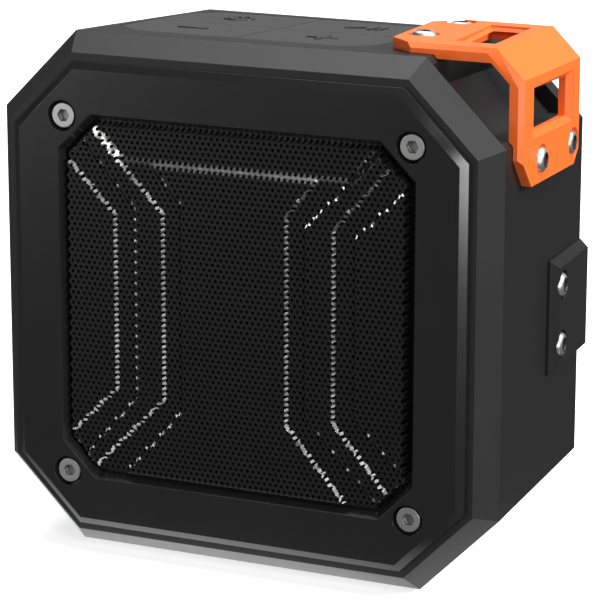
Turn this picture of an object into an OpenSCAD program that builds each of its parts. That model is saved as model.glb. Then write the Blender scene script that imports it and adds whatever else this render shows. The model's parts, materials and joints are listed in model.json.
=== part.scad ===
// Rugged portable speaker with an octagonal front, a bolted corner guard and a
// side plate.  Millimetres, +X right, +Y to the back, +Z up.  The origin is on
// the ground under the middle of the body.

/* [Body] */
// Width of the front frame
body_w = 100; // [90:1:120]
// Height of the front frame
body_h = 98; // [88:1:118]
// Depth of the housing behind the front frame
body_d = 48; // [46:1:60]
// Cut across each corner of the octagon, measured along a side
corner_cut = 15.2; // [13:0.2:18]
// How far each side leans in at the back
side_draft = 3.2; // [1:0.2:4]
// How far the top leans down at the back
top_draft = 2.6; // [1:0.2:4]
// Thickness of the housing walls
wall = 2.4; // [2:0.1:3]
// Height of the rubber foot strips under the body
foot_h = 0.6; // [0.4:0.1:1.5]

/* [Front] */
// Depth of the sloping band round the front
band_d = 4.6; // [4:0.1:6]
// How far the band slopes in
band_in = 3.4; // [2.5:0.1:4.5]
// Inset of the bezel's outer wall
bezel_in = 4.8; // [4.4:0.1:6]
// Thickness of the bezel above the frame
bezel_t = 1.6; // [1.4:0.1:2.5]
// Inset of the grille opening on the bezel face
opening_in = 14.3; // [13:0.1:16]
// Sideways distance of the bezel screws from the middle
screw_x = 34.7; // [33.5:0.1:35.5]
// Height of the bezel screws from the middle
screw_z = 34; // [33:0.1:35]
// Depth of the grooves pressed into the grille
groove_depth = 0.55; // [0.3:0.05:0.8]

/* [Corner guard] */
// How far the guard stands off the housing faces at the front
guard_proud = 1.7; // [1.4:0.1:2.2]
// Front face of the guard behind the frame
guard_front = 3.6; // [3:0.2:5]
// Back face of the guard behind the frame
guard_back = 36; // [35:0.5:40]
// Wall of the guard across the open corner
guard_wall = 2.6; // [2.4:0.1:3.4]

/* [Keypad] */
// Width of the keypad
keypad_w = 53; // [48:1:54]
// Depth of the keypad
keypad_d = 39; // [34:1:40]
// Sideways place of the keypad's middle
keypad_x = -5.5; // [-7:0.5:-4]

/* [Sound] */
// Outside diameter of the driver's rim
driver_rim = 54; // [50:1:56]
// Outside diameter of the magnet
magnet_d = 38; // [32:1:42]
// Diameter of the opening for the passive radiator
radiator_d = 46; // [40:1:48]

/* [Hidden] */

$fn = 64;
eps = 0.01;
fit = 0.15;
tilt_top = atan(top_draft / body_d);
tilt_side = atan(side_draft / body_d);
face_d = band_d + bezel_t;
foot_y = [8, 24, 40];

// ---------- outlines and frames ----------

// Octagon of the body as [x, z] points, set in by o, with s off each side and t off the top
function octagon(o = 0, s = 0, t = 0) =
    let (w = body_w / 2 - o - s, top = body_h / 2 - o - t, bottom = o - body_h / 2,
         c = corner_cut - (2 - sqrt(2)) * o)
    [[w - c, top], [w, top - c], [w, bottom + c], [w - c, bottom],
     [c - w, bottom], [-w, bottom + c], [-w, top - c], [c - w, top]];

// Octagon of the housing at depth y, set in by o
function section(y, o = 0) = octagon(o, side_draft * y / body_d, top_draft * y / body_d);

// Solid between outline a at depth ya and outline b at depth yb
module loft(a, ya, b, yb) {
    n = len(a);
    polyhedron(
        points = concat([for (p = a) [p[0], ya, p[1]]], [for (p = b) [p[0], yb, p[1]]]),
        faces = concat([[for (i = [0 : n - 1]) i]], [[for (i = [0 : n - 1]) 2 * n - 1 - i]],
                       [for (i = [0 : n - 1]) [i, n + i, n + (i + 1) % n, (i + 1) % n]]));
}

// Straight prism of an outline from depth ya to yb
module slab(outline, ya, yb) {
    translate([0, yb, 0]) rotate([90, 0, 0]) linear_extrude(yb - ya) polygon(outline);
}

// Ring between two outlines
module ring_slab(outer, inner, ya, yb) {
    difference() {
        slab(outer, ya, yb);
        slab(inner, ya - 1, yb + 1);
    }
}

// Turned part about the Y axis: the outline is [radius, depth]
module turned(outline) {
    rotate([-90, 0, 0]) rotate_extrude() polygon(outline);
}

// Tube about the Y axis
module tube_y(r, r_in, ya, yb) {
    turned([[r_in, ya], [r, ya], [r, yb], [r_in, yb]]);
}

// Solid cylinder along Y
module rod_y(r, ya, yb) {
    translate([0, yb, 0]) rotate([90, 0, 0]) cylinder(r = r, h = yb - ya);
}

// The body's own frame: Y from the back of the front band, Z from the middle of the front
module in_body() {
    translate([0, -body_d / 2, foot_h + body_h / 2]) children();
}

// Frames that lie on the leaning top, right and left faces
module on_top() {
    translate([0, 0, body_h / 2]) rotate([-tilt_top, 0, 0]) children();
}
module on_right() {
    translate([body_w / 2, 0, 0]) rotate([0, 0, tilt_side]) children();
}
module on_left() {
    mirror([1, 0, 0]) on_right() children();
}

module at_corners() {
    for (x = [-screw_x, screw_x], z = [-screw_z, screw_z]) translate([x, 0, z]) children();
}

// ---------- screws ----------

// Button-head screw standing on z = 0 with its shank down the Z axis
module button_screw(head_r, head_h, shank_r, length, key) {
    difference() {
        union() {
            rotate_extrude() polygon([[0, 0], [head_r, 0], [head_r, head_h * 0.35],
                [head_r * 0.86, head_h * 0.8], [head_r * 0.6, head_h], [0, head_h]]);
            translate([0, 0, -length]) cylinder(r = shank_r, h = length + eps);
        }
        translate([0, 0, head_h * 0.35]) cylinder(r = key, h = head_h, $fn = 6);
    }
}

// Cap screw along +Y whose head's underside is at y = 0
module cap_screw(head_r, head_h, shank_r, length, key) {
    rotate([90, 0, 0]) difference() {
        union() {
            cylinder(r = head_r, h = head_h);
            translate([0, 0, -length]) cylinder(r = shank_r, h = length + eps);
        }
        translate([0, 0, head_h * 0.4]) cylinder(r = key, h = head_h, $fn = 6);
    }
}

// ---------- the open corner ----------

pocket_x = 36;
pocket_z = 34.8;
pocket_deeper = 4.2;
pocket_end = body_d - 4.8;
corner_sum = body_w / 2 + body_h / 2 - corner_cut;
// Outline of the hollow behind the corner of the front frame at depth y, grown by g
function pocket(y, g = 0) =
    let (dx = side_draft * y / body_d, dz = top_draft * y / body_d,
         x = pocket_x - g - dx, z = pocket_z - g - dz, far = 70,
         s = corner_sum - pocket_deeper - g * sqrt(2) - dx - dz)
    [[x, far], [far, far], [far, z], [s - z, z], [x, s - x]];

module pocket_cut(g, ya, yb) {
    loft(pocket(ya, g), ya, pocket(yb, g), yb);
}

// ---------- housing ----------

cover_y = body_d - 2.4;
seal_t = 0.6;
column_r = 3.4;
column_bore = 1.1;
key_y = 6;
well_floor = -2.6;
well_under = -3.6;
mat_t = 0.4;
cut = 5.5;

// Keypad outline on the top face, shrunk by g
module keypad_outline(g = 0) {
    x0 = keypad_x - keypad_w / 2 + g;
    x1 = keypad_x + keypad_w / 2 - g;
    y0 = key_y + g;
    y1 = key_y + keypad_d - g;
    c = cut - g * 0.586;
    polygon([[x0 + c, y0], [x1 - c, y0], [x1, y0 + c], [x1, y1 - c], [x1 - c, y1],
             [x0 + c, y1], [x0, y1 - c], [x0, y0 + c]]);
}

// Places of the four keys' middles on the top face: [x, y]
key_mid_x = keypad_w / 4;
key_mid_y = keypad_d / 4;
function key_place(i, j) = [keypad_x + i * key_mid_x, key_y + keypad_d / 2 + j * key_mid_y];

key_screw_y = [key_y + 4.5, key_y + 34.5];
switch_top = -4.3;
switch_h = 2;
board_z = 22;
board_t = 1.6;
board_posts = [[-33, 9], [-33, 39], [24, 9], [24, 39]];
flap_y0 = 10.5;
flap_l = 31;
flap_z0 = 19.4;
flap_h = 11.2;
flap_t = 1.8;
aux_y = 14.5;
usb_y = 23;
card_y = 34.2;
guard_screw_y = [14.7, 32.9];
guard_top_x = 28.3;
guard_side_z = 29.6;
guard_screw_lean = 0.01;
plate_y = 27;
plate_z = -2.9;
plate_h = 21.8;
plate_t = 2;
plate_l = 20;
plate_bevel = 1.5;
plate_screw_y = 31;
plate_screw_z = [-5.7, 5.7];

// Frames on the housing faces at the guard's screws, Z out of the face
module at_guard_top(y) {
    on_top() translate([guard_top_x - guard_screw_lean * y, y, 0]) children();
}
module at_guard_side(y) {
    on_right() translate([0, y, guard_side_z - guard_screw_lean * y]) rotate([0, 90, 0]) children();
}

module housing_hollow() {
    difference() {
        loft(section(-1, wall), -1, section(body_d + 1, wall), body_d + 1);
        pocket_cut(wall, -2, cover_y - seal_t - 0.15);
    }
}

module housing_inside_ribs() {
    intersection() {
        loft(section(0, wall / 2), 4.2, section(body_d, wall / 2), body_d - 0.4);
        union() {
            at_corners() rod_y(column_r, 4.2, cover_y - seal_t - 0.3);
            for (x = [-1, 1], z = [-1, 1]) translate([x * screw_x, 0, z * screw_z])
                rotate([0, -45 * x * z, 0]) translate([x > 0 ? 2.4 : -10.4, 4.6, -0.9])
                    cube([8, cover_y - seal_t - 5.2, 1.8]);
            // ledge for the back cover
            ring_slab(section(0, wall / 2), section(body_d, wall + 2.6), cover_y - seal_t - 2.2,
                      cover_y - seal_t);
            // well under the keypad
            on_top() translate([0, 0, well_under]) linear_extrude(-well_under - wall + 0.6)
                intersection() {
                    keypad_outline(-1.4);
                    translate([-40, 0]) square([80, cover_y - seal_t - 0.4]);
                }
            on_left() translate([-4.2, flap_y0 - 1.5, flap_z0 - 1.5])
                cube([4, flap_l + 3, flap_h + 3]);
            // bosses behind the guard and plate screws
            for (y = guard_screw_y) {
                at_guard_top(y) translate([0, 0, -8]) cylinder(r = 2.8, h = 7);
                at_guard_side(y) translate([0, 0, -8]) cylinder(r = 2.8, h = 7);
            }
            for (z = plate_screw_z) on_right() translate([-8, plate_screw_y, plate_z + z])
                rotate([0, 90, 0]) cylinder(r = 2.8, h = 7);
            // posts that carry the key board
            for (y = key_screw_y) on_top() translate([keypad_x, y, switch_top - switch_h])
                cylinder(r = 2, h = 3);
            // posts that carry the main board
            for (p = board_posts) translate([p[0], p[1], board_z + board_t])
                cylinder(r = 2.2, h = 24);
        }
    }
}

module housing() {
    color("#2b2b2c") in_body() difference() {
        union() {
            difference() {
                loft(section(0), 0, section(body_d), body_d);
                housing_hollow();
            }
            housing_inside_ribs();
        }
        pocket_cut(0, -1, pocket_end);
        at_corners() rod_y(column_bore, 3, 18);
        at_corners() rod_y(column_bore, cover_y - 14, cover_y + 1);
        on_top() {
            translate([0, 0, well_floor]) linear_extrude(5) keypad_outline();
            for (i = [-1, 1], j = [-1, 1]) translate([key_place(i, j)[0], key_place(i, j)[1], -6])
                cylinder(r = 2.6, h = 5);
            for (y = key_screw_y) translate([keypad_x, y, -7]) cylinder(r = 1.1, h = 3.9);
        }
        for (y = guard_screw_y) {
            at_guard_top(y) translate([0, 0, -7]) cylinder(r = 1.1, h = 9);
            at_guard_side(y) translate([0, 0, -7]) cylinder(r = 1.1, h = 9);
        }
        on_right() {
            for (z = plate_screw_z) translate([-7, plate_screw_y, plate_z + z])
                rotate([0, 90, 0]) cylinder(r = 1.1, h = 9);
        }
        on_left() {
            translate([-flap_t, flap_y0, flap_z0]) cube([flap_t + 1, flap_l, flap_h]);
            translate([-6, usb_y - 4.9, board_z + board_t - 0.2]) cube([6, 9.8, 3.8]);
            translate([-6, card_y - 6.1, board_z + board_t - 0.2]) cube([6, 12.2, 2]);
            translate([-6, aux_y, board_z + board_t + 2.6]) rotate([0, 90, 0])
                cylinder(r = 2.9, h = 6);
        }
        for (p = board_posts) translate([p[0], p[1], board_z]) cylinder(r = 0.8, h = 8);
        for (y = foot_y) foot_strip(y, fit);
    }
}

// One rubber strip under the body, grown by g
foot_l = 56;
foot_w = 6;
foot_sunk = 0.8;
module foot_strip(y, g = 0) {
    translate([-foot_l / 2 - g, y - foot_w / 2 - g, -body_h / 2 - foot_h])
        cube([foot_l + 2 * g, foot_w + 2 * g, foot_h + foot_sunk]);
}

module foot_strips() {
    color("#1a1a1a") in_body() for (y = foot_y) foot_strip(y);
}

// ---------- front ----------

tongue_d = 3;
tongue_t = 1.8;
front_wall_in = -1.6;
grille_floor = -3;
cutout_r = 23;
driver_screw_at = 20.6;
driver_screws_at = [for (a = [45 : 90 : 315]) [driver_screw_at * sqrt(2) * cos(a),
                                               driver_screw_at * sqrt(2) * sin(a)]];

module at_driver_screws() {
    for (p = driver_screws_at) translate([p[0], 0, p[1]]) children();
}

module front_shell() {
    color("#3a3a3b") in_body() difference() {
        union() {
            loft(octagon(band_in), -band_d, octagon(), 0);
            difference() {
                loft(section(0, wall + fit), -eps, section(tongue_d, wall + fit), tongue_d);
                slab(octagon(wall + fit + tongue_t), -1, tongue_d + 1);
                pocket_cut(wall + fit, 0, tongue_d + 1);
            }
        }
        slab(octagon(wall + fit + tongue_t), front_wall_in, 1);
        // seat for the bezel and recess for the grille
        slab(octagon(opening_in - 1), -band_d - 1, grille_floor);
        rod_y(cutout_r, -band_d - 1, 1);
        at_corners() rod_y(1.5, -band_d - 1, 1);
        at_corners() rod_y(sleeve_r + fit, -band_d - 1, -sleeve_y);
        at_driver_screws() rod_y(0.9, -2.4, 1);
        // groove for the seal
        ring_slab(octagon(wall), octagon(wall + fit + 0.7), 1.1, 2.3);
    }
    color("#3a3a3b") in_body() difference() {
        union() {
            at_corners() rod_y(column_r, front_wall_in - eps, 4);
            at_driver_screws() rod_y(2.2, front_wall_in - eps, rim_y);
        }
        at_corners() rod_y(1.5, -3, 5);
        at_driver_screws() rod_y(0.9, -2.4, 5);
    }
}

module front_seal() {
    color("#7d7d80") in_body() difference() {
        loft(section(1.2, wall + 0.05), 1.2, section(2.2, wall + 0.05), 2.2);
        slab(octagon(wall + fit + 0.65), 0, 3);
        pocket_cut(wall + fit, 0, 3);
    }
}

bezel_bevel = 0.95;
head_r = 2.3;
head_h = 1.5;
sink_r = 2.9;
sink_y = 4.2;
sleeve_r = 3.8;
sleeve_y = 3.6;

module bezel() {
    color("#303031") in_body() difference() {
        union() {
            slab(octagon(bezel_in), -face_d + bezel_bevel, -band_d);
            loft(octagon(bezel_in + 1.4), -face_d, octagon(bezel_in), -face_d + bezel_bevel);
            slab(octagon(opening_in - 0.9), -band_d - eps, grille_floor - 0.6);
            at_corners() rod_y(sleeve_r, -band_d - eps, -sleeve_y);
        }
        loft(octagon(opening_in - 0.02), -face_d - 0.02, octagon(opening_in + 0.95), -face_d + 1.5);
        slab(octagon(opening_in + 0.95), -face_d + 1.49, 0);
        at_corners() rod_y(sink_r, -face_d - 1, -sink_y);
        at_corners() rod_y(1.5, -face_d - 1, 0);
    }
}

module bezel_screws() {
    color("#d4d6d8") in_body() at_corners() translate([0, -sink_y, 0])
        cap_screw(head_r, head_h, 1.0, 17, 1.15);
}

// Path of one pressed groove in the right half: outer edge at x, turning out at height z
groove_w = 3.8;
grille_in = 16.2;
grille_t = 0.5;
grille_y = -face_d;
groove_runs = [[12.3, 18.4], [22.1, 17.3]];
module groove(x, z) {
    reach = 30;
    a = groove_w / 2;
    k = a * (sqrt(2) - 1);
    polygon([[x - a, 0], [x + a, 0], [x + a, z - k], [x + a + reach, z - k + reach],
             [x - a + reach - k, z + k + reach + a * 2 - k], [x - a, z + k]]);
}

module groove_set() {
    for (sx = [0, 1], sz = [0, 1], g = groove_runs)
        mirror([sx, 0]) mirror([0, sz]) groove(g[0], g[1]);
}

// Deeper field above the middle, its lower edge and ends sloped; grown by g
field_depth = 1.1;
field_slope = 0.65;
field_low = 26.5;
field_half = 22.6;
function field_outline(g) =
    let (lean = g * (sqrt(2) - 1), top = 10)
    [[-field_half - top - lean, field_low + top - g], [field_half + top + lean, field_low + top - g],
     [field_half + lean, field_low - g], [-field_half - lean, field_low - g]];
module pressed_field(skin) {
    y = grille_y + skin;
    loft(field_outline(field_slope * 1.2 + skin), y - 0.1 * field_depth,
         field_outline(skin - field_slope), y + field_depth);
}

// Sheet pressed out of the flange towards the front, with grooves pressed back in
module pressed_form(skin) {
    difference() {
        slab(octagon(grille_in + skin), grille_y + skin, grille_floor);
        translate([0, grille_y + groove_depth + skin, 0]) rotate([90, 0, 0])
            linear_extrude(groove_depth * 2) offset(delta = skin) intersection() {
                groove_set();
                polygon(octagon(grille_in - 2));
            }
        pressed_field(skin);
    }
}

module grille() {
    color("#454547") in_body() difference() {
        union() {
            slab(octagon(opening_in - 0.8), grille_floor - grille_t, grille_floor);
            pressed_form(0);
        }
        translate([0, eps, 0]) pressed_form(grille_t);
    }
}

module grille_cloth() {
    color("#121212") in_body() slab(octagon(grille_in + grille_t + 0.2),
                                       grille_floor - 0.3, grille_floor);
}

// ---------- corner guard ----------

guard_chamfer = 0.9;
guard_run = 5.4;
guard_left = 25.2;
guard_bottom = 25.7;
guard_lean_x = 0.038;
guard_lean_z = 0.022;
top_window_y = [10.2, 30.4];
side_window_y = [10.6, 31.2];
window_bevel = 1.1;
top_window_x = [37.8, 43.4];
side_window_z = [34.9, 42.3];
top_slope = 0.08;
side_slope = 0.015;

// The guard's outside across the corner at depth y, set in by g
function guard_x(y) = body_w / 2 + guard_proud - guard_lean_x * y;
function guard_z(y) = body_h / 2 + guard_proud + 0.1 - guard_lean_z * y;
function guard_outside(y, g = 0) =
    let (x = guard_x(y) - g, z = guard_z(y) - g, run = guard_run + g * (2 - sqrt(2)), far = 30)
    [[x - far, z], [x - run, z], [x, z - run], [x, z - far], [x - far, z - far]];

// What is cut from it: the open corner inside its wall
function guard_inside(y) =
    let (x = guard_x(y) - guard_wall, z = guard_z(y) - guard_wall,
         run = guard_run - guard_wall * 0.73, far = 40)
    [[x - far, z], [x - run, z], [x, z - run], [x, z - far], [x - far, z - far]];

// and the housing, with a hair between them
function guard_seat(y) =
    let (x = body_w / 2 - side_draft / body_d * y + 0.05, z = body_h / 2 - top_draft / body_d * y + 0.05,
         far = 40)
    [[x - far, z], [x - corner_cut, z], [x, z - corner_cut], [x, z - far], [x - far, z - far]];

module guard_body() {
    y = guard_front + guard_chamfer;
    a = guard_front - 1;
    b = guard_back + 1;
    difference() {
        union() {
            loft(guard_outside(y), y, guard_outside(guard_back), guard_back);
            loft(guard_outside(guard_front, guard_chamfer), guard_front, guard_outside(y), y);
        }
        loft(guard_inside(a), a, guard_inside(b), b);
        loft(guard_seat(a), a, guard_seat(b), b);
    }
}

// Leans its children along X as they go back, from the guard's front on
module sheared(slope) {
    multmatrix([[1, slope, 0, -slope * guard_front], [0, 1, 0, 0], [0, 0, 1, 0]]) children();
}

// Cutter that shapes the plate's outline as seen square on: u along the plate, v to the back
module plate_trim(u0, cut_front, cut_back) {
    far = 30;
    polygon([[u0 - far, guard_front - 5], [u0 + cut_front, guard_front - 5],
             [u0 + cut_front, guard_front], [u0, guard_front + cut_front],
             [u0, guard_back - cut_back], [u0 + cut_back, guard_back],
             [u0 + cut_back, guard_back + 5], [u0 - far, guard_back + 5]]);
}

// Cutter of a window from a to b across and over y in depth, its rim bevelled at height z
module window(a, b, y, z) {
    bevel = window_bevel;
    translate([a, y[0], z - 12]) cube([b - a, y[1] - y[0], 16]);
    hull() {
        translate([a, y[0], z - bevel - 0.6]) cube([b - a, y[1] - y[0], eps]);
        translate([a - bevel, y[0] - bevel, z - 0.6])
            cube([b - a + 2 * bevel, y[1] - y[0] + 2 * bevel, 1.5]);
    }
}

module corner_guard() {
    outer_z = body_h / 2 + guard_proud + 0.1;
    outer_x = body_w / 2 + guard_proud;
    color("#ff7a33") in_body() difference() {
        guard_body();
        sheared(-top_slope) {
            translate([0, 0, body_h / 2 - 6]) linear_extrude(12) plate_trim(guard_left, 5, 5);
            window(top_window_x[0], top_window_x[1], top_window_y, outer_z - guard_lean_z * 20);
            // thinner plate round the top window
            translate([top_window_x[0] - 1.3, top_window_y[0] - 1.3, body_h / 2 - 12])
                cube([top_window_x[1] - top_window_x[0] + 2.6,
                      top_window_y[1] - top_window_y[0] + 2.6, 12.1]);
        }
        translate([outer_x - guard_lean_x * 20, 0, 0]) rotate([0, 90, 0]) sheared(side_slope) {
            translate([0, 0, -6]) linear_extrude(12) mirror([1, 0])
                plate_trim(guard_bottom, 5.5, 2.6);
            window(-side_window_z[1], -side_window_z[0], side_window_y, 0);
        }
        for (y = guard_screw_y) {
            at_guard_top(y) guard_hole();
            at_guard_side(y) guard_hole();
        }
    }
}

// Hole and round sinking for one guard screw
seat = 1.5;
module guard_hole() {
    translate([0, 0, -1]) cylinder(r = 1.4, h = 6);
    translate([0, 0, seat]) cylinder(r = 2.9, h = 6);
}

module guard_top_screws() {
    color("#d4d6d8") in_body() for (y = guard_screw_y) at_guard_top(y)
        translate([0, 0, seat]) button_screw(2.35, 1.4, 1.0, 7.4, 1.2);
}

module guard_side_screws() {
    color("#d4d6d8") in_body() for (y = guard_screw_y) at_guard_side(y)
        translate([0, 0, seat]) button_screw(2.35, 1.4, 1.0, 7.4, 1.2);
}

// ---------- side plate ----------

module side_plate() {
    b = plate_bevel;
    outer = [[0, plate_y], [plate_t - b, plate_y], [plate_t, plate_y + b],
             [plate_t, plate_y + plate_l], [0, plate_y + plate_l]];
    profile = [[0.02, -plate_h / 2], [plate_t - b, -plate_h / 2], [plate_t, b - plate_h / 2],
               [plate_t, plate_h / 2 - b], [plate_t - b, plate_h / 2], [0.02, plate_h / 2]];
    color("#343435") in_body() on_right() translate([0, 0, plate_z]) difference() {
        intersection() {
            translate([0, 0, -plate_h / 2]) linear_extrude(plate_h) polygon(outer);
            slab(profile, plate_y, plate_y + plate_l);
        }
        for (z = plate_screw_z) translate([0, plate_screw_y, z]) rotate([0, 90, 0]) {
            translate([0, 0, -1]) cylinder(r = 1.4, h = 6);
            translate([0, 0, 1]) cylinder(r = 2.8, h = 6);
        }
    }
}

module side_plate_screws() {
    color("#d4d6d8") in_body() on_right() for (z = plate_screw_z)
        translate([1, plate_screw_y, plate_z + z]) rotate([0, 90, 0])
            button_screw(2.3, 1.4, 1.0, 7.4, 1.15);
}

// ---------- keypad ----------

key_gap = 0.25;
key_t = 1.6;
stem_r = 2;
icon_h = 0.25;
icon_w = 1.1;
plunger_top = -3.9;
switch_w = 6;
plunger_r = 1.7;

module keypad_mat() {
    color("#202021") in_body() on_top() translate([0, 0, well_floor]) linear_extrude(mat_t)
        difference() {
            keypad_outline(fit);
            for (i = [-1, 1], j = [-1, 1]) translate(key_place(i, j)) circle(r = stem_r + 0.5);
        }
}

// One key: a quarter of the keypad with a stem, and its raised mark as the child
module key(i, j) {
    place = key_place(i, j);
    half = [keypad_w / 4, keypad_d / 4];
    color("#2a2a2b") in_body() on_top() {
        translate([0, 0, -key_t]) linear_extrude(key_t) intersection() {
            keypad_outline(key_gap);
            translate(place) square([2 * half[0] - key_gap * 1.2, 2 * half[1] - key_gap * 1.2],
                                    center = true);
        }
        translate([place[0], place[1], plunger_top]) cylinder(r = stem_r, h = -plunger_top - 0.4);
        translate([place[0], place[1], -eps]) linear_extrude(icon_h) children();
    }
}

module key_minus() {
    key(-1, -1) square([6, icon_w], center = true);
}
module key_plus() {
    key(1, -1) union() {
        square([6, icon_w], center = true);
        square([icon_w, 6], center = true);
    }
}
module key_power() {
    key(-1, 1) union() {
        difference() {
            circle(r = 3, $fn = 40);
            circle(r = 3 - icon_w * 0.8, $fn = 40);
            translate([-0.9, 0]) square([1.8, 4]);
        }
        translate([-icon_w * 0.4, 0.6]) square([icon_w * 0.8, 3]);
    }
}
module key_play() {
    key(1, 1) union() {
        polygon([[-3.4, -2.4], [0.2, 0], [-3.4, 2.4]]);
        for (x = [1.2, 2.9]) translate([x, -2.4]) square([icon_w * 0.8, 4.8]);
    }
}

module key_board() {
    color("#1f5c3a") in_body() on_top() difference() {
        translate([keypad_x - 25, key_y + 2, switch_top - switch_h - 1.2]) cube([48, 35, 1.2]);
        for (y = key_screw_y) translate([keypad_x, y, -20]) cylinder(r = 1.2, h = 30);
    }
}

module key_switches() {
    color("#b9bcc0") in_body() on_top() for (i = [-1, 1], j = [-1, 1])
        translate([key_place(i, j)[0], key_place(i, j)[1], switch_top - switch_h]) difference() {
            translate([-switch_w / 2, -switch_w / 2, 0]) cube([switch_w, switch_w, switch_h]);
            translate([0, 0, 0.5]) cylinder(r = plunger_r + 0.2, h = switch_h);
        }
}

module plunger(i, j) {
    color("#141414") in_body() on_top()
        translate([key_place(i, j)[0], key_place(i, j)[1], switch_top - 0.9])
            cylinder(r = plunger_r, h = plunger_top - switch_top + 0.9);
}
module plunger_minus() { plunger(-1, -1); }
module plunger_plus() { plunger(1, -1); }
module plunger_power() { plunger(-1, 1); }
module plunger_play() { plunger(1, 1); }

module key_board_screws() {
    under = switch_top - switch_h - 1.2;
    color("#c9cbce") in_body() on_top() for (y = key_screw_y) translate([keypad_x, y, under]) {
        translate([0, 0, -1]) cylinder(r = 1.9, h = 1);
        cylinder(r = 1.0, h = 4);
    }
}

// ---------- back ----------

radiator_r = radiator_d / 2;
frame_r = radiator_r + 4;
guard_plate_r = radiator_r + 2;
guard_plate_t = 1.2;
radiator_y = cover_y - 3.2;

module back_cover() {
    color("#2b2b2c") in_body() difference() {
        loft(section(cover_y, wall + fit), cover_y, section(body_d, wall + fit), body_d);
        rod_y(radiator_r, cover_y - 1, body_d + 1);
        rod_y(guard_plate_r + 0.1, body_d - guard_plate_t, body_d + 1);
        at_corners() rod_y(1.4, cover_y - 1, body_d + 1);
        at_corners() rod_y(2.6, body_d - 1.3, body_d + 1);
    }
    color("#2b2b2c") in_body() for (a = [45 : 90 : 315]) rotate([0, a, 0])
        translate([frame_r + 1.6, 0, 0]) difference() {
            rod_y(1.9, radiator_y + surround_t, cover_y + eps);
            rod_y(0.8, cover_y - 4, cover_y + eps);
        }
}

module back_seal() {
    color("#7d7d80") in_body() difference() {
        ring_slab(section(body_d, wall + 0.4), section(body_d, wall + 2.4), cover_y - seal_t,
                  cover_y);
        at_corners() rod_y(1.6, 0, body_d);
    }
}

module back_cover_screws() {
    color("#d4d6d8") in_body() at_corners() translate([0, body_d - 1.3, 0]) mirror([0, 1, 0])
        cap_screw(2.3, 1.1, 1.0, 11, 1.1);
}

slot_w = 2.2;
slot_pitch = 4.4;
module radiator_guard() {
    color("#353536") in_body() difference() {
        rod_y(guard_plate_r, body_d - guard_plate_t, body_d);
        intersection() {
            rod_y(radiator_r - 1.2, body_d - 3, body_d + 1);
            for (k = [-4 : 4]) for (s = [-1, 1])
                translate([s * (radiator_r / 2 + 0.4) - (radiator_r - 1.6) / 2, body_d - 2,
                           k * slot_pitch - slot_w / 2])
                    cube([radiator_r - 1.6, 3, slot_w]);
        }
    }
}

module radiator_frame() {
    color("#232324") in_body() difference() {
        tube_y(frame_r, radiator_r - 1, radiator_y + surround_t, cover_y);
        for (a = [45 : 90 : 315]) rotate([0, a, 0]) translate([frame_r + 1.6, 0, 0])
            rod_y(2.05, 0, body_d);
    }
}

roll = 4;
surround_t = 0.6;
plate_r = radiator_r - 1 - roll;

module radiator_surround() {
    color("#161616") in_body() tube_y(radiator_r + 1, plate_r, radiator_y, radiator_y + surround_t);
}

module radiator_plate() {
    color("#8c8f93") in_body() union() {
        rod_y(plate_r - 0.1, radiator_y - 0.6, radiator_y + 0.8);
        rod_y(plate_r - 6, radiator_y - 2.6, radiator_y - 0.5);
    }
}

module radiator_screws() {
    color("#c9cbce") in_body() for (a = [45 : 90 : 315]) rotate([0, a, 0])
        translate([frame_r + 1.6, radiator_y + surround_t, 0]) {
            rod_y(2.2, -0.9, 0);
            rod_y(0.7, -eps, 2.4);
        }
}

// ---------- driver ----------

rim_y = front_wall_in + 0.5;
rim_t = 1.5;
neck_y = 13;
top_plate_y = 15;
top_plate_t = 3;
magnet_t = 6;
yoke_t = 3;
pole_r = 8.1;
gap_r = 9.9;
cone_r = 18;
cone_t = 0.6;
former_r = 8.6;
spider_y = 12.3;

module driver_gasket() {
    color("#101010") in_body() difference() {
        tube_y(driver_rim / 2 - 0.6, cutout_r, front_wall_in, rim_y);
        at_driver_screws() rod_y(2.5, -5, 5);
    }
}

module driver_basket() {
    color("#8f9296") in_body() difference() {
        union() {
            tube_y(driver_rim / 2, cutout_r - 0.6, rim_y, rim_y + rim_t);
            at_driver_screws() rod_y(3.2, rim_y, rim_y + rim_t);
            turned([[cutout_r - 0.6, rim_y + rim_t - eps], [cutout_r + 0.9, rim_y + rim_t - eps],
                    [18.6, neck_y], [18.6, top_plate_y], [11, top_plate_y], [11, neck_y + 0.6],
                    [17.2, neck_y + 0.6], [17.2, neck_y - 1]]);
        }
        for (a = [0 : 60 : 300]) rotate([0, a, 0]) translate([12, rim_y + rim_t + 1.2, -5])
            cube([20, 8, 10]);
        at_driver_screws() rod_y(1.4, -5, 5);
    }
}

module driver_screws() {
    color("#c9cbce") in_body() at_driver_screws() {
        rod_y(2.1, rim_y + rim_t, rim_y + rim_t + 1.2);
        rod_y(0.8, front_wall_in - 0.7, rim_y + rim_t + eps);
    }
}

module driver_top_plate() {
    color("#a9acb0") in_body() tube_y(magnet_d / 2 - 1, gap_r, top_plate_y, top_plate_y + top_plate_t);
}

module driver_magnet() {
    y = top_plate_y + top_plate_t;
    color("#3b3c3f") in_body() tube_y(magnet_d / 2, 12, y, y + magnet_t);
}

module driver_yoke() {
    y = top_plate_y + top_plate_t + magnet_t;
    color("#a9acb0") in_body() union() {
        rod_y(magnet_d / 2 - 1, y, y + yoke_t);
        rod_y(pole_r, top_plate_y, y + eps);
    }
}

module driver_cone() {
    color("#1b1b1c") in_body() turned([[cone_r, rim_y + 1.2], [cone_r, rim_y + 1.2 + cone_t],
        [former_r + 0.35, 8.6], [former_r + 0.35, 7.6], [cone_r - 0.9, rim_y + 1.2]]);
}

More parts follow.
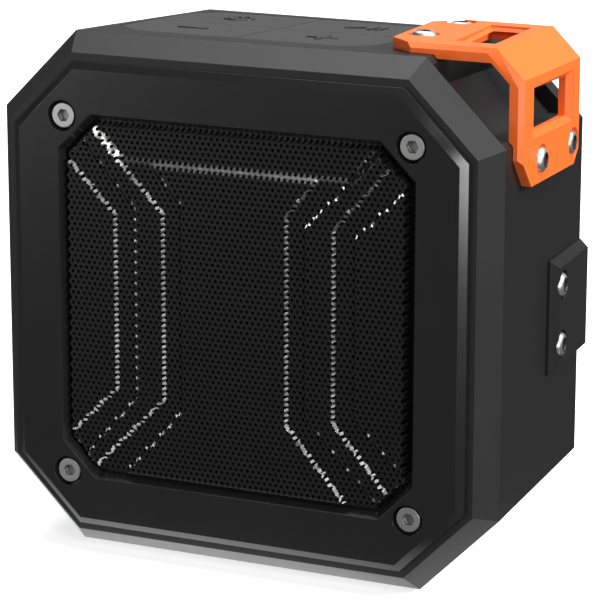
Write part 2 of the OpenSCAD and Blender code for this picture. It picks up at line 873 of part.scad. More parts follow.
module voice_coil() {
    color("#b06a34") in_body() turned([[former_r, 7.6], [former_r + 0.3, 7.6],
        [former_r + 0.3, top_plate_y - 0.8], [former_r + 0.85, top_plate_y - 0.8],
        [former_r + 0.85, top_plate_y + 4.6], [former_r, top_plate_y + 4.6]]);
}

module dust_cap() {
    rise = 3;
    steps = [0 : 15 : 90];
    color("#222223") in_body() turned(concat(
        [for (t = steps) [former_r * cos(t) + 0.4, 7.4 - rise * sin(t)]],
        [for (t = [90 : -15 : 0]) [(former_r - 0.5) * cos(t) + (t == 90 ? 0 : 0.4),
                                   7.4 - (rise - 0.5) * sin(t)]]));
}

module driver_surround() {
    color("#161616") in_body() tube_y(cutout_r - 0.6, cone_r - 0.8, rim_y + 0.6, rim_y + 1.2);
}

module driver_spider() {
    color("#c78f3c") in_body() tube_y(17.2, former_r + 0.3, spider_y, spider_y + 0.5);
}

module driver_terminals() {
    color("#caa85a") in_body() for (x = [-2.5, 2.5]) translate([x - 0.9, 13.3, 18.54])
        cube([1.8, 0.6, 2.06]);
}

// ---------- electronics ----------

module wire(points, r) {
    for (i = [0 : len(points) - 2]) hull() {
        translate(points[i]) sphere(r = r, $fn = 8);
        translate(points[i + 1]) sphere(r = r, $fn = 8);
    }
}

module speaker_leads() {
    color("#c02a26") in_body() for (x = [-2.5, 2.5])
        wire([[x, 14.4, 20], [x, 16, 20.9], [x * 1.2, 17.6, 21.4]], 0.5);
}

module main_board() {
    color("#1f5c3a") in_body() difference() {
        translate([-42, 7.5, board_z]) cube([69, 34, board_t]);
        for (p = board_posts) translate([p[0], p[1], board_z - 1]) cylinder(r = 1.3, h = 4);
    }
}

module board_screws() {
    color("#c9cbce") in_body() for (p = board_posts) translate([p[0], p[1], board_z]) {
        translate([0, 0, -1.1]) cylinder(r = 1.9, h = 1.1);
        cylinder(r = 0.7, h = 7);
    }
}

module bluetooth_module() {
    color("#9a9da1") in_body() translate([0, 0, board_z + board_t]) {
        translate([8, 8, 0]) cube([13, 10, 0.8]);
        translate([8.6, 8.6, 0.8 - eps]) cube([9, 8.8, 1.4]);
    }
}

module amplifier() {
    color("#26282b") in_body() translate([0, 0, board_z + board_t]) {
        translate([-8, 26, 0]) cube([5.5, 5.5, 1]);
        for (y = [22, 33]) translate([-16, y, 0]) cube([5, 5, 3]);
        for (x = [2, 9]) translate([x, 34, 0]) cylinder(r = 2.6, h = 5.4);
    }
}

socket_x = -45.2;
module usb_socket() {
    color("#c4c7cb") in_body() translate([socket_x, usb_y, board_z + board_t + 1.6]) difference() {
        translate([0, -4.5, -1.6]) cube([7.4, 9, 3.2]);
        translate([-1, -4.1, -1.2]) cube([6.4, 8.2, 2.4]);
    }
    color("#1a1a1a") in_body() translate([socket_x + 1, usb_y - 3.2, board_z + board_t + 1.25])
        cube([4.9, 6.4, 0.7]);
}

module aux_socket() {
    color("#1d1d1f") in_body() translate([socket_x, aux_y, board_z + board_t + 2.6]) difference() {
        union() {
            translate([2.6, -3, -2.6]) cube([11, 6, 5.2]);
            rotate([0, 90, 0]) cylinder(r = 2.5, h = 3);
        }
        translate([-1, 0, 0]) rotate([0, 90, 0]) cylinder(r = 1.8, h = 13);
    }
}

module card_slot() {
    color("#c4c7cb") in_body() translate([socket_x + 0.6, card_y, board_z + board_t]) difference() {
        translate([0, -5.8, 0]) cube([8.4, 11.6, 1.6]);
        translate([-1, -5.5, 0.3]) cube([8.4, 11, 1]);
    }
}

pack_size = [52, 32, 9.6];
module battery_pack() {
    color("#2f6fb3") in_body() translate([-pack_size[0] / 2, 8, -body_h / 2 + wall + 1.2])
        cube(pack_size);
}

module battery_tray() {
    t = 1.2;
    color("#2a2a2b") in_body() translate([-pack_size[0] / 2 - t - fit, 8 - t - fit,
                                          -body_h / 2 + wall]) difference() {
        cube([pack_size[0] + 2 * t + 2 * fit, pack_size[1] + 2 * t + 2 * fit, 8]);
        translate([t, t, t]) cube([pack_size[0] + 2 * fit, pack_size[1] + 2 * fit, 10]);
        translate([pack_size[0], t + 10, 5]) cube([10, 8, 5]);
    }
}

module battery_leads() {
    color("#c02a26") in_body() for (k = [0, 1.6]) wire([[26.6, 22 + k, -38.6], [28.8, 22 + k, -37],
        [29.4, 22 + k, -30], [29.4, 24 + k, 14], [26, 25 + k, 19.8], [23.5, 26 + k, 21.3]], 0.55);
}

// ---------- port flap ----------

flap_gap = 0.25;
hinge_x = -1.1;
hinge_r = 0.65;
module port_flap() {
    y = flap_y0 + flap_gap;
    length = flap_l - 2 * flap_gap;
    top = flap_z0 + flap_h - flap_gap;
    color("#1b1b1c") in_body() on_left() {
        translate([-flap_t + 0.4, y, flap_z0 + 1.2]) cube([1.3, length, top - flap_z0 - 1.2]);
        translate([hinge_x, y, flap_z0 + 1.2]) rotate([-90, 0, 0]) cylinder(r = hinge_r, h = length);
        translate([-flap_t + 1.7 - eps, y + length / 2 - 4, top - 1.6]) cube([0.5, 8, 1]);
    }
}

housing();
front_shell();
front_seal();
bezel();
grille();
grille_cloth();
bezel_screws();
corner_guard();
guard_top_screws();
guard_side_screws();
side_plate();
side_plate_screws();
keypad_mat();
key_minus();
key_plus();
key_power();
key_play();
key_board();
key_switches();
plunger_minus();
plunger_plus();
plunger_power();
plunger_play();
key_board_screws();
back_cover();
back_seal();
back_cover_screws();
radiator_guard();
radiator_frame();
radiator_surround();
radiator_plate();
radiator_screws();
driver_basket();
driver_gasket();
driver_screws();
driver_top_plate();
driver_magnet();
driver_yoke();
driver_cone();
voice_coil();
dust_cap();
driver_surround();
driver_spider();
driver_terminals();
speaker_leads();
main_board();
board_screws();
bluetooth_module();
amplifier();
usb_socket();
aux_socket();
card_slot();
battery_pack();
battery_tray();
battery_leads();
port_flap();
foot_strips();
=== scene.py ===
"""Looks of a rugged portable speaker: an octagonal front with a grooved perforated
grille, a bolted orange corner guard, a keypad on top and a plate on the side."""

from __future__ import annotations

import json
import logging
import math
from dataclasses import dataclass, field
from enum import Enum

import bpy
from mathutils import Matrix, Vector

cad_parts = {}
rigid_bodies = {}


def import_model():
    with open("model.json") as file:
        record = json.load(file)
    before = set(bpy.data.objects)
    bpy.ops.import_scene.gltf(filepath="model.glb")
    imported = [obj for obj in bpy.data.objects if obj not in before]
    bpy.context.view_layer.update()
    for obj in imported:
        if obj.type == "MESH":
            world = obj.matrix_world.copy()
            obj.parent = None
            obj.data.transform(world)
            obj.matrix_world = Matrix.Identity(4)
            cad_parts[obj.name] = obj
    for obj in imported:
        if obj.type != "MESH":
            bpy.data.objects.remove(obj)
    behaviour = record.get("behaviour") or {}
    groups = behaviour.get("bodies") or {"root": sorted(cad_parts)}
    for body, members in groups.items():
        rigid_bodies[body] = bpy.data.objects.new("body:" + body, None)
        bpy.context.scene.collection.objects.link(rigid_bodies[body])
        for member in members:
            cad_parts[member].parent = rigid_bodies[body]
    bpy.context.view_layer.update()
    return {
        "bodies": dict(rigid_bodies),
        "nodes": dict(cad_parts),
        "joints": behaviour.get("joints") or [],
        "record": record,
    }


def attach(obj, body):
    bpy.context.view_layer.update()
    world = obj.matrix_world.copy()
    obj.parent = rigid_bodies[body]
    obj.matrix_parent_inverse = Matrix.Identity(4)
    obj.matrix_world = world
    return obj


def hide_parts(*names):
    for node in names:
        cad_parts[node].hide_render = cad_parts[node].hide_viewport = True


LOG = logging.getLogger("speaker")
MM = 0.001
Point = tuple[float, float, float]
Colour = tuple[float, float, float]


# ---------------------------------------------------------------- finishes


class Pattern(Enum):
    """The small-scale structure that a finish shows."""

    GRAIN = "moulded grain"
    SPARK = "powder coat"
    DRAWN = "drawn metal"
    WEAVE = "plain weave"
    WINDING = "wire winding"
    TRACES = "board traces"


class PatternGroup:
    """Builds the shader node group of one pattern, once, and hands it to every material."""

    INPUTS = (
        ("Vector", "NodeSocketVector"),
        ("Colour", "NodeSocketColor"),
        ("Roughness", "NodeSocketFloat"),
        ("Scale", "NodeSocketFloat"),
        ("Tone", "NodeSocketFloat"),
        ("Spread", "NodeSocketFloat"),
    )
    OUTPUTS = (
        ("Colour", "NodeSocketColor"),
        ("Roughness", "NodeSocketFloat"),
        ("Height", "NodeSocketFloat"),
    )
    NEUTRAL = 0.5       # shade that leaves colour and gloss as they are
    TRACE_EDGE = 0.42   # distance in a cell at which a trace begins

    def __init__(self, pattern: Pattern) -> None:
        """Make the group's tree.

        Args:
            pattern: The structure to draw.
        """
        self.tree = bpy.data.node_groups.new(pattern.value, "ShaderNodeTree")
        for name, kind in self.INPUTS:
            self.tree.interface.new_socket(name, in_out="INPUT", socket_type=kind)
        for name, kind in self.OUTPUTS:
            self.tree.interface.new_socket(name, in_out="OUTPUT", socket_type=kind)
        self.inlet = self.tree.nodes.new("NodeGroupInput")
        self.outlet = self.tree.nodes.new("NodeGroupOutput")
        draw = {
            Pattern.GRAIN: self._grain,
            Pattern.SPARK: self._spark,
            Pattern.DRAWN: self._drawn,
            Pattern.WEAVE: self._weave,
            Pattern.WINDING: self._winding,
            Pattern.TRACES: self._traces,
        }[pattern]
        height, shade = draw()
        self._finish(height, shade)

    def _node(self, kind: str, **values: object) -> bpy.types.Node:
        """Add a node and set its properties.

        Args:
            kind: The node's type.
            values: Properties to set on it.

        Returns:
            The node.
        """
        node = self.tree.nodes.new(kind)
        for key, value in values.items():
            setattr(node, key, value)
        return node

    def _link(self, source: bpy.types.NodeSocket, target: bpy.types.NodeSocket) -> None:
        """Join two sockets."""
        self.tree.links.new(source, target)

    def _math(self, kind: str, a: object, b: object) -> bpy.types.NodeSocket:
        """Add a math node.

        Args:
            kind: The operation.
            a: The first value or socket.
            b: The second value or socket.

        Returns:
            The result's socket.
        """
        node = self._node("ShaderNodeMath", operation=kind)
        for index, value in enumerate((a, b)):
            if isinstance(value, bpy.types.NodeSocket):
                self._link(value, node.inputs[index])
            else:
                node.inputs[index].default_value = value
        return node.outputs[0]

    def _noise(self, factor: float, detail: float = 3.0) -> bpy.types.NodeSocket:
        """Add noise at a multiple of the group's scale.

        Args:
            factor: Multiple of the scale.
            detail: Number of finer layers.

        Returns:
            The noise value's socket.
        """
        noise = self._node("ShaderNodeTexNoise")
        noise.inputs["Detail"].default_value = detail
        self._link(self.inlet.outputs["Vector"], noise.inputs["Vector"])
        self._link(self._math("MULTIPLY", self.inlet.outputs["Scale"], factor), noise.inputs["Scale"])
        return noise.outputs["Fac"]

    def _wave(self, axis: str, twist: float = 0.0) -> bpy.types.NodeSocket:
        """Add bands along an axis, at the group's scale.

        Args:
            axis: X, Y or Z.
            twist: Distortion of the bands.

        Returns:
            The wave value's socket.
        """
        wave = self._node("ShaderNodeTexWave", bands_direction=axis)
        wave.inputs["Distortion"].default_value = twist
        self._link(self.inlet.outputs["Vector"], wave.inputs["Vector"])
        self._link(self.inlet.outputs["Scale"], wave.inputs["Scale"])
        return wave.outputs["Fac"]

    def _cells(self, **values: object) -> bpy.types.NodeSocket:
        """Add cells at the group's scale.

        Args:
            values: Settings of the cell texture.

        Returns:
            The socket of the distance in a cell.
        """
        cells = self._node("ShaderNodeTexVoronoi", **values)
        self._link(self.inlet.outputs["Vector"], cells.inputs["Vector"])
        self._link(self.inlet.outputs["Scale"], cells.inputs["Scale"])
        return cells.outputs["Distance"]

    def _grain(self) -> tuple[bpy.types.NodeSocket, bpy.types.NodeSocket]:
        """Fine pebbled grain of a spark-eroded mould.

        Returns:
            Height and shade sockets.
        """
        height = self._math("ADD", self._cells(feature="SMOOTH_F1"), self._noise(0.6))
        return height, self._noise(0.02, 2.0)

    def _spark(self) -> tuple[bpy.types.NodeSocket, bpy.types.NodeSocket]:
        """Orange-peel surface of powder coat.

        Returns:
            Height and shade sockets.
        """
        return self._noise(1.0, 2.0), self._noise(0.05, 3.0)

    def _drawn(self) -> tuple[bpy.types.NodeSocket, bpy.types.NodeSocket]:
        """Fine marks of a turned or drawn metal surface.

        Returns:
            Height and shade sockets.
        """
        lines = self._math("MULTIPLY", self._wave("Z", 2.0), 0.5)
        return self._math("ADD", lines, self._noise(1.5, 4.0)), self._noise(0.1, 2.0)

    def _weave(self) -> tuple[bpy.types.NodeSocket, bpy.types.NodeSocket]:
        """Over and under of a plain weave.

        Returns:
            Height and shade sockets.
        """
        across = self._wave("X")
        along = self._wave("Z")
        return self._math("MAXIMUM", across, along), self._math("MULTIPLY", across, along)

    def _winding(self) -> tuple[bpy.types.NodeSocket, bpy.types.NodeSocket]:
        """Turns of fine wire laid side by side along Y.

        Returns:
            Height and shade sockets.
        """
        turns = self._wave("Y")
        return turns, turns

    def _traces(self) -> tuple[bpy.types.NodeSocket, bpy.types.NodeSocket]:
        """Raised copper under solder resist.

        Returns:
            Height and shade sockets.
        """
        cells = self._cells(feature="F1", distance="CHEBYCHEV")
        step = self._math("GREATER_THAN", cells, self.TRACE_EDGE)
        return step, self._math("ADD", step, self._noise(0.3))

    def _finish(self, height: bpy.types.NodeSocket, shade: bpy.types.NodeSocket) -> None:
        """Turn height and shade into the group's outputs.

        Args:
            height: Socket of the relief.
            shade: Socket that varies the colour and the gloss.
        """
        swing = self._math("SUBTRACT", shade, self.NEUTRAL)
        gain = self._math("ADD", self._math("MULTIPLY", swing, self.inlet.outputs["Tone"]), 1.0)
        tint = self._node("ShaderNodeVectorMath", operation="SCALE")
        self._link(self.inlet.outputs["Colour"], tint.inputs[0])
        self._link(gain, tint.inputs["Scale"])
        self._link(tint.outputs[0], self.outlet.inputs["Colour"])
        spread = self._math("MULTIPLY", swing, self.inlet.outputs["Spread"])
        rough = self._math("ADD", self.inlet.outputs["Roughness"], spread)
        self._link(rough, self.outlet.inputs["Roughness"])
        self._link(height, self.outlet.inputs["Height"])


@dataclass(frozen=True)
class Finish:
    """One surface finish.

    Attributes:
        name: What a maker would call it.
        colour: Base colour, linear.
        rough: Middle roughness.
        pattern: Its small-scale structure.
        scale: Pattern repeats per metre.
        tone: How far the colour varies.
        spread: How far the roughness varies.
        relief: Depth of the relief in metres.
        metal: 1 for bare metal.
        coat: Weight of a clear coat.
        specular: Specular level.
        sheen: Weight of cloth sheen.
    """

    name: str
    colour: Colour
    rough: float
    pattern: Pattern = Pattern.GRAIN
    scale: float = 2600.0
    tone: float = 0.15
    spread: float = 0.08
    relief: float = 0.00002
    metal: float = 0.0
    coat: float = 0.0
    specular: float = 0.5
    sheen: float = 0.0


class Paint:
    """Builds each finish's material once."""

    COAT_ROUGHNESS = 0.25
    BUMP_STRENGTH = 0.6

    def __init__(self) -> None:
        """Start with no material built."""
        self._groups: dict[Pattern, bpy.types.NodeTree] = {}
        self._built: dict[str, bpy.types.Material] = {}

    def material(self, finish: Finish) -> bpy.types.Material:
        """Return the finish's material.

        Args:
            finish: The finish to build.

        Returns:
            Its material.
        """
        if finish.name in self._built:
            return self._built[finish.name]
        if finish.pattern not in self._groups:
            self._groups[finish.pattern] = PatternGroup(finish.pattern).tree
        material = bpy.data.materials.new(finish.name)
        material.use_nodes = True
        nodes, links = material.node_tree.nodes, material.node_tree.links
        shader = nodes["Principled BSDF"]
        shader.inputs["Metallic"].default_value = finish.metal
        shader.inputs["Coat Weight"].default_value = finish.coat
        shader.inputs["Coat Roughness"].default_value = self.COAT_ROUGHNESS
        shader.inputs["Specular IOR Level"].default_value = finish.specular
        shader.inputs["Sheen Weight"].default_value = finish.sheen
        where = nodes.new("ShaderNodeTexCoord")
        group = nodes.new("ShaderNodeGroup")
        group.node_tree = self._groups[finish.pattern]
        for name, value in (("Colour", (*finish.colour, 1.0)), ("Roughness", finish.rough),
                            ("Scale", finish.scale), ("Tone", finish.tone), ("Spread", finish.spread)):
            group.inputs[name].default_value = value
        bump = nodes.new("ShaderNodeBump")
        bump.inputs["Strength"].default_value = self.BUMP_STRENGTH
        bump.inputs["Distance"].default_value = finish.relief
        links.new(where.outputs["Object"], group.inputs["Vector"])
        links.new(group.outputs["Colour"], shader.inputs["Base Color"])
        links.new(group.outputs["Roughness"], shader.inputs["Roughness"])
        links.new(group.outputs["Height"], bump.inputs["Height"])
        links.new(bump.outputs["Normal"], shader.inputs["Normal"])
        self._built[finish.name] = material
        return material


HOUSING_BLACK = Finish("housing_black", (0.014, 0.014, 0.0145), 0.44, scale=3200, relief=0.00003,
                       specular=0.22)
BAND_CHARCOAL = Finish("band_charcoal", (0.022, 0.022, 0.0225), 0.44, scale=4200, relief=0.000012,
                       specular=0.4)
BEZEL_SATIN = Finish("bezel_satin", (0.017, 0.017, 0.0175), 0.24, scale=5200, spread=0.04, relief=0.000003,
                     specular=0.7)
GUARD_ORANGE = Finish("guard_orange", (1.0, 0.165, 0.02), 0.46, scale=2600, tone=0.05, relief=0.000018)
GRILLE_COAT = Finish("grille_coat", (0.011, 0.011, 0.0115), 0.4, Pattern.SPARK, 3500, relief=0.00001,
                     specular=0.35)
# Bright bare metal laid only on grille flanks that face the lamps: a painted glint.
GRILLE_PAINTED_GLINT = Finish("grille_painted_glint", (0.62, 0.62, 0.61), 0.3, Pattern.SPARK, 3500, 0.5, 0.15, 0.00001,
                     metal=1.0)
KEY_SKIN = Finish("key_skin", (0.028, 0.028, 0.029), 0.5, scale=4200, relief=0.000015)
ICON_BLACK = Finish("icon_black", (0.004, 0.004, 0.004), 0.35, scale=4200, relief=0.000008)
SCREW_BRIGHT = Finish("screw_bright", (0.66, 0.66, 0.65), 0.42, Pattern.DRAWN, 2600, 0.1, 0.08, 0.000003,
                      metal=1.0)
# Darker steel for the faces inside hexagon sockets: painted shade in the recess. The pale one is a lighter
# painted shade for the bezel screws.
SOCKET_PAINTED_SHADE = Finish("socket_painted_shade", (0.07, 0.07, 0.072), 0.45, Pattern.DRAWN, 2600, 0.2, 0.1, 0.000003,
                      metal=1.0)
SOCKET_PALE_PAINTED_SHADE = Finish("socket_pale_painted_shade", (0.34, 0.34, 0.34), 0.45, Pattern.DRAWN, 2600, 0.2, 0.1,
                           0.000003, metal=1.0)
SCREW_ZINC = Finish("screw_zinc", (0.6, 0.61, 0.6), 0.34, Pattern.DRAWN, 2200, 0.15, 0.1, 0.000004, metal=1.0)
INNER_BLACK = Finish("inner_black", (0.014, 0.014, 0.015), 0.5, scale=2400)
RUBBER_BLACK = Finish("rubber_black", (0.012, 0.012, 0.012), 0.62, scale=3000, relief=0.00002)
SEAL_GREY = Finish("seal_grey", (0.2, 0.2, 0.205), 0.6, scale=2200)
CLOTH_BLACK = Finish("cloth_black", (0.004, 0.004, 0.004), 0.9, Pattern.WEAVE, 700, 0.4, 0.05, 0.00003,
                     sheen=0.1)
SPIDER_CLOTH = Finish("spider_cloth", (0.57, 0.27, 0.05), 0.8, Pattern.WEAVE, 500, 0.3, 0.05, 0.00004,
                      sheen=0.3)
CONE_PAPER = Finish("cone_paper", (0.012, 0.012, 0.013), 0.7, Pattern.SPARK, 900, 0.4, 0.1, 0.00003)
COIL_COPPER = Finish("coil_copper", (0.7, 0.25, 0.08), 0.3, Pattern.WINDING, 900, 0.4, 0.1, 0.00003,
                     metal=1.0)
BOARD_GREEN = Finish("board_green", (0.012, 0.09, 0.035), 0.34, Pattern.TRACES, 420, 0.3, 0.1, 0.00002,
                     coat=0.5)
ALLOY_CAST = Finish("alloy_cast", (0.55, 0.56, 0.58), 0.45, Pattern.SPARK, 1500, 0.2, 0.12, 0.00002,
                    metal=1.0)
FERRITE_DARK = Finish("ferrite_dark", (0.045, 0.045, 0.05), 0.55, Pattern.SPARK, 1800, 0.3, 0.1)
TAG_BRASS = Finish("tag_brass", (0.7, 0.48, 0.16), 0.3, Pattern.DRAWN, 2000, 0.15, 0.1, 0.000004, metal=1.0)
WIRE_RED = Finish("wire_red", (0.5, 0.02, 0.016), 0.45, scale=1800, tone=0.1)
CELL_WRAP = Finish("cell_wrap", (0.03, 0.16, 0.45), 0.3, Pattern.SPARK, 600, 0.12, 0.08, coat=0.4)


# ---------------------------------------------------------------- workshop


class Bench:
    """The few hand operations that every piece is made with.

    Attributes:
        WELD: Vertices closer than this are joined.
        SLIVER: Edges shorter than this are dissolved.
        FLAT: Faces that meet at less than this many degrees are made one.
        EDGE: Least angle of an edge that is rounded, in degrees.
        SEGMENTS: Steps across a rounded edge.
        SMOOTH: Faces that meet at less than this many degrees are shaded as one.
    """

    WELD = 0.015 * MM
    SLIVER = 0.02 * MM
    FLAT = 0.8
    EDGE = 32.0
    SEGMENTS = 2
    SMOOTH = 38.0

    @staticmethod
    def only(piece: bpy.types.Object) -> None:
        """Select one object and make it active."""
        for other in bpy.context.selected_objects:
            other.select_set(False)
        piece.select_set(True)
        bpy.context.view_layer.objects.active = piece

    @staticmethod
    def apply(piece: bpy.types.Object, kind: str, **values: object) -> None:
        """Add a modifier, set it and apply it.

        Args:
            piece: The piece to change.
            kind: The modifier's type.
            values: Its settings.
        """
        Bench.only(piece)
        modifier = piece.modifiers.new(kind.lower(), kind)
        for key, value in values.items():
            setattr(modifier, key, value)
        bpy.ops.object.modifier_apply(modifier=modifier.name)

    @staticmethod
    def from_node(node: bpy.types.Object, name: str) -> bpy.types.Object:
        """Copy a CAD solid into a piece of its own and join its loose faces.

        Args:
            node: The CAD solid.
            name: The piece's name.

        Returns:
            The piece, with flat faces made whole.
        """
        piece = bpy.data.objects.new(name, node.data.copy())
        bpy.context.scene.collection.objects.link(piece)
        piece.data.materials.clear()
        Bench.only(piece)
        bpy.ops.object.mode_set(mode="EDIT")
        bpy.ops.mesh.select_mode(type="VERT")
        bpy.ops.mesh.select_all(action="SELECT")
        bpy.ops.mesh.remove_doubles(threshold=Bench.WELD)
        bpy.ops.mesh.dissolve_degenerate(threshold=Bench.SLIVER)
        bpy.ops.mesh.dissolve_limited(angle_limit=math.radians(Bench.FLAT))
        bpy.ops.object.mode_set(mode="OBJECT")
        return piece

    @staticmethod
    def soften(piece: bpy.types.Object, width: float) -> None:
        """Round a piece's edges and shade it smooth across them.

        Args:
            piece: The piece.
            width: Width of the rounding in metres.
        """
        Bench.apply(piece, "BEVEL", width=width, segments=Bench.SEGMENTS, limit_method="ANGLE",
                    angle_limit=math.radians(Bench.EDGE), use_clamp_overlap=True, miter_outer="MITER_ARC")
        Bench.smooth(piece)
        Bench.apply(piece, "WEIGHTED_NORMAL", mode="FACE_AREA", weight=100, keep_sharp=True)

    @staticmethod
    def smooth(piece: bpy.types.Object, angle: float = SMOOTH) -> None:
        """Shade a piece smooth below an angle."""
        Bench.only(piece)
        bpy.ops.object.shade_smooth_by_angle(angle=math.radians(angle))


@dataclass
class Fitted:
    """What every sub-assembly needs: the frame and the paint.

    Attributes:
        paint: The material builder.
    """

    frame: dict
    paint: Paint

    def node(self, name: str) -> bpy.types.Object:
        """Return a CAD node's object."""
        return self.frame["nodes"][name]

    def dress(self, piece: bpy.types.Object, finish: Finish) -> None:
        """Give a piece one finish all over."""
        piece.data.materials.clear()
        piece.data.materials.append(self.paint.material(finish))

    def softened(self, node: str, finish: Finish, body: str, width: float, slot: str) -> bpy.types.Object:
        """Make a piece with rounded edges that stands for a CAD node.

        Args:
            node: The CAD node.
            finish: Its finish.
            body: The body it rides on.
            width: Width of the edge rounding in metres.
            slot: The record's material slot.

        Returns:
            The piece.
        """
        piece = Bench.from_node(self.node(node), node + "_made")
        Bench.soften(piece, width)
        self.dress(piece, finish)
        self.place(piece, body, slot, node)
        return piece

    def place(self, piece: bpy.types.Object, body: str, slot: str, *nodes: str) -> None:
        """Hand a piece over to its body.

        Args:
            piece: The finished piece.
            body: The body it rides on.
            slot: The record's material slot; not used.
            nodes: The CAD nodes that it stands for.
        """
        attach(piece, body)
        if nodes:
            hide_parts(*nodes)
        LOG.info("%s rides on %s, %d faces", piece.name, body, len(piece.data.polygons))


# ---------------------------------------------------------------- the grille


@dataclass
class PressedGrille(Fitted):
    """Steel sheet with hexagonal holes, pressed into grooves, with a painted glint of bright metal on the
    flanks that face right and up.

    Attributes:
        pitch: Distance between holes along a row.
        web: Steel left on each side of a hole.
        half_width: Half the sheet's width.
        half_height: Half the sheet's height.
        corner: Cut across the sheet's corners, along a side.
        middle: Centre of the sheet.
        thickness: Thickness of the steel.
        weld: Copies of a cell closer than this are joined.
        crease: Faces that meet at less than this many degrees are shaded as one.
        rightward: Least x of the normal of a flank that looks right.
        upward: Least z of the normal of a flank that looks up.
        slope: Least and greatest y of the normal of a flank.
    """

    pitch: float = 1.155 * MM
    web: float = 0.27 * MM
    half_width: float = 35.0 * MM
    half_height: float = 34.0 * MM
    corner: float = 6.6 * MM
    middle: Point = (0.0, -40.0 * MM, 49.6 * MM)
    thickness: float = 0.42 * MM
    weld: float = 0.01 * MM
    crease: float = 30.0
    rightward: float = 0.2
    upward: float = 0.3
    slope: tuple[float, float] = (-0.9, -0.2)

    def build(self) -> None:
        """Punch, trim, press and thicken the sheet, and paint a glint of bright metal on the flanks that face
        right and up.
        """
        piece = self._cell()
        self._repeat(piece)
        self._trim(piece)
        Bench.apply(piece, "SHRINKWRAP", target=self.node("grille"), wrap_method="PROJECT",
                    use_project_y=True, use_positive_direction=True, use_negative_direction=False)
        Bench.apply(piece, "SOLIDIFY", thickness=self.thickness, offset=-1.0)
        Bench.smooth(piece, self.crease)
        self.dress(piece, GRILLE_COAT)
        piece.data.materials.append(self.paint.material(GRILLE_PAINTED_GLINT))
        # Flanks that face right and up get the bright metal as a painted glint.
        for face in piece.data.polygons:
            if self._painted_glint(face.normal):
                face.material_index = 1
        self.place(piece, "case", "perforated_steel", "grille")

    def _painted_glint(self, normal: Vector) -> bool:
        """Tell whether a face is on a groove's flank that looks right or up and takes the painted glint.

        Args:
            normal: The way the face looks.

        Returns:
            True where the coat is worn through.
        """
        right = normal.x > self.rightward
        up = normal.z > self.upward and abs(normal.x) < self.rightward
        return (right or up) and self.slope[0] < normal.y < self.slope[1]

    def _lattice(self) -> tuple[float, int, int]:
        """Measure the lattice of holes.

        Returns:
            Height of a row, and the pitches and the pairs of rows on each side of the middle.
        """
        row = self.pitch * math.sqrt(3) / 2
        return row, round(self.half_width / self.pitch + 1), round(self.half_height / row / 2 + 1)

    def _cell(self) -> bpy.types.Object:
        """Make two cells of the lattice, one above the other and half a pitch along.

        Returns:
            The two cells as one mesh.
        """
        row, across, up = self._lattice()
        x = self.middle[0] - self.pitch * across
        z = self.middle[2] - row * 2 * up
        bpy.ops.mesh.primitive_circle_add(vertices=6, radius=self.pitch / math.sqrt(3), fill_type="NGON",
                                          location=(x, self.middle[1], z), rotation=(math.pi / 2, 0, 0))
        piece = bpy.context.object
        piece.name = "pressed_grille"
        bpy.ops.object.transform_apply(location=True, rotation=True, scale=True)
        bpy.ops.object.mode_set(mode="EDIT")
        bpy.ops.mesh.select_mode(type="FACE")
        bpy.ops.mesh.select_all(action="SELECT")
        bpy.ops.mesh.inset(thickness=self.web)
        bpy.ops.mesh.delete(type="FACE")
        bpy.ops.mesh.select_all(action="SELECT")
        bpy.ops.mesh.duplicate()
        bpy.ops.transform.translate(value=(self.pitch / 2, 0, row))
        bpy.ops.object.mode_set(mode="OBJECT")
        return piece

    def _repeat(self, piece: bpy.types.Object) -> None:
        """Array the cells over the sheet."""
        row, across, up = self._lattice()
        for count, step in ((2 * across + 1, (self.pitch, 0, 0)), (2 * up + 1, (0, 0, 2 * row))):
            Bench.apply(piece, "ARRAY", count=count, use_relative_offset=False, use_constant_offset=True,
                        constant_offset_displace=step, use_merge_vertices=True, merge_threshold=self.weld)

    def _trim(self, piece: bpy.types.Object) -> None:
        """Cut the sheet to its octagon."""
        Bench.only(piece)
        bpy.ops.object.mode_set(mode="EDIT")
        slant = (self.half_width + self.half_height - self.corner) / math.sqrt(2)
        for x, z, length in ((1, 0, self.half_width), (-1, 0, self.half_width),
                             (0, 1, self.half_height), (0, -1, self.half_height),
                             (1, 1, slant), (-1, 1, slant), (1, -1, slant), (-1, -1, slant)):
            out = Vector((x, 0, z)).normalized()
            bpy.ops.mesh.select_all(action="SELECT")
            bpy.ops.mesh.bisect(plane_co=Vector(self.middle) + out * length, plane_no=out,
                                clear_outer=True, clear_inner=False)
        bpy.ops.object.mode_set(mode="OBJECT")


# ---------------------------------------------------------------- case, guard, keys

TOP_OUT: Point = (0, 0.0541, 0.9985)     # square to the sloping top
SIDE_OUT: Point = (0.9978, 0.0665, 0)    # square to the sloping side


@dataclass
class Case(Fitted):
    """The housing, front band, bezel and back, with their edges rounded.

    Attributes:
        pieces: CAD node, finish, body, rounding in millimetres and material slot of each.
    """

    pieces: tuple[tuple[str, Finish, str, float, str], ...] = (
        ("housing", HOUSING_BLACK, "case", 0.35, "body_plastic"),
        ("front_shell", BAND_CHARCOAL, "case", 0.22, "shell_plastic"),
        ("bezel", BEZEL_SATIN, "case", 0.14, "bezel_plastic"),
        ("side_plate", HOUSING_BLACK, "case", 0.25, "body_plastic"),
        ("back_cover", HOUSING_BLACK, "case", 0.3, "body_plastic"),
        ("radiator_guard", BAND_CHARCOAL, "case", 0.2, "body_plastic"),
        ("port_flap", RUBBER_BLACK, "flap", 0.2, "black_rubber"),
        ("foot_strips", RUBBER_BLACK, "case", 0.15, "black_rubber"),
    )

    def build(self) -> None:
        """Make the moulded pieces."""
        for node, finish, body, width, slot in self.pieces:
            self.softened(node, finish, body, width * MM, slot)


@dataclass
class CornerGuard(Fitted):
    """The orange guard over the open corner."""

    def build(self) -> None:
        """Make the guard."""
        self.softened("corner_guard", GUARD_ORANGE, "case", 0.4 * MM, "orange_plastic")


